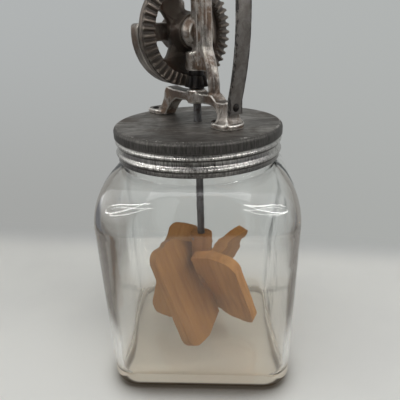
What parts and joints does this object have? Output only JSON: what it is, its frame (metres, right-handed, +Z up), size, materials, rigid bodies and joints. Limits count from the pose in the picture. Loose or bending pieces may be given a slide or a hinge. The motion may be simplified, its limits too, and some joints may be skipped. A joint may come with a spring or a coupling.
{
  "type": "butter_churn",
  "caption": "Hand-cranked butter churn: a square glass jar whose screw cap carries a cast bevel-gear frame with a strap handle, turning a pitched wooden paddle inside the jar.",
  "frame": {"origin": "Middle of the jar's foot, on the surface it stands on.", "axes": "+Z up along the dasher shaft, X and Y square to the jar's flat sides, -Y towards the viewer of the picture."},
  "size_m": [0.162, 0.173, 0.3596],
  "materials": {
    "clear_glass": "gloss",
    "rubber": "matte",
    "worn_tin": "satin",
    "cast_iron": "satin",
    "dark_iron": "satin",
    "steel": "satin",
    "bronze": "satin",
    "paddle_wood": "matte",
    "knob_wood": "satin"
  },
  "bodies": {
    "jar": {"glass_jar": "clear_glass"},
    "gasket": {"cap_gasket": "rubber"},
    "lid": {"screw_cap": "worn_tin", "gear_frame": "cast_iron", "foot_rivets": "steel", "strap_handle": "cast_iron", "handle_rivet": "steel", "handle_screw": "steel", "axle_stud": "steel", "axle_washer": "steel", "axle_nut": "steel", "upper_bush": "bronze", "lower_bush": "bronze"},
    "crank": {"drive_gear": "cast_iron", "crank": "cast_iron", "hub_bush": "bronze", "hub_pins": "steel", "knob_pin": "steel", "knob_washer": "steel"},
    "knob": {"crank_knob": "knob_wood"},
    "dasher": {"dasher_shaft": "steel", "pinion": "dark_iron", "pinion_pin": "steel", "dasher_hub": "paddle_wood", "dasher_pin": "steel", "dasher_washer": "steel", "dasher_nut": "steel", "paddle_1": "paddle_wood", "paddle_2": "paddle_wood", "paddle_3": "paddle_wood", "paddle_4": "paddle_wood", "paddle_dowels": "paddle_wood"}
  },
  "joints": [
    {"name": "lid_lift", "type": "slide", "parent": "jar", "child": "gasket", "axis": [0, 0, 1], "range_m": [0, 0.2]},
    {"name": "cap_turn", "type": "hinge", "parent": "gasket", "child": "lid", "pos_m": [0, 0, 0.21436], "axis": [0, 0, 1], "range_deg": [0, 540]},
    {"name": "crank_turn", "type": "hinge", "parent": "lid", "child": "crank", "pos_m": [0, 0, 0.28308], "axis": [0.6561, -0.7547, 0], "continuous": true},
    {"name": "dasher_spin", "type": "hinge", "parent": "lid", "child": "dasher", "pos_m": [0, 0, 0.21436], "axis": [0, 0, 1], "continuous": true},
    {"name": "knob_spin", "type": "hinge", "parent": "crank", "child": "knob", "pos_m": [-0.05588, 0.06428, 0.32908], "axis": [0.6561, -0.7547, 0], "continuous": true}
  ],
  "couplings": [
    {"joint": "dasher_spin", "follows": "crank_turn", "ratio": -5}
  ]
}
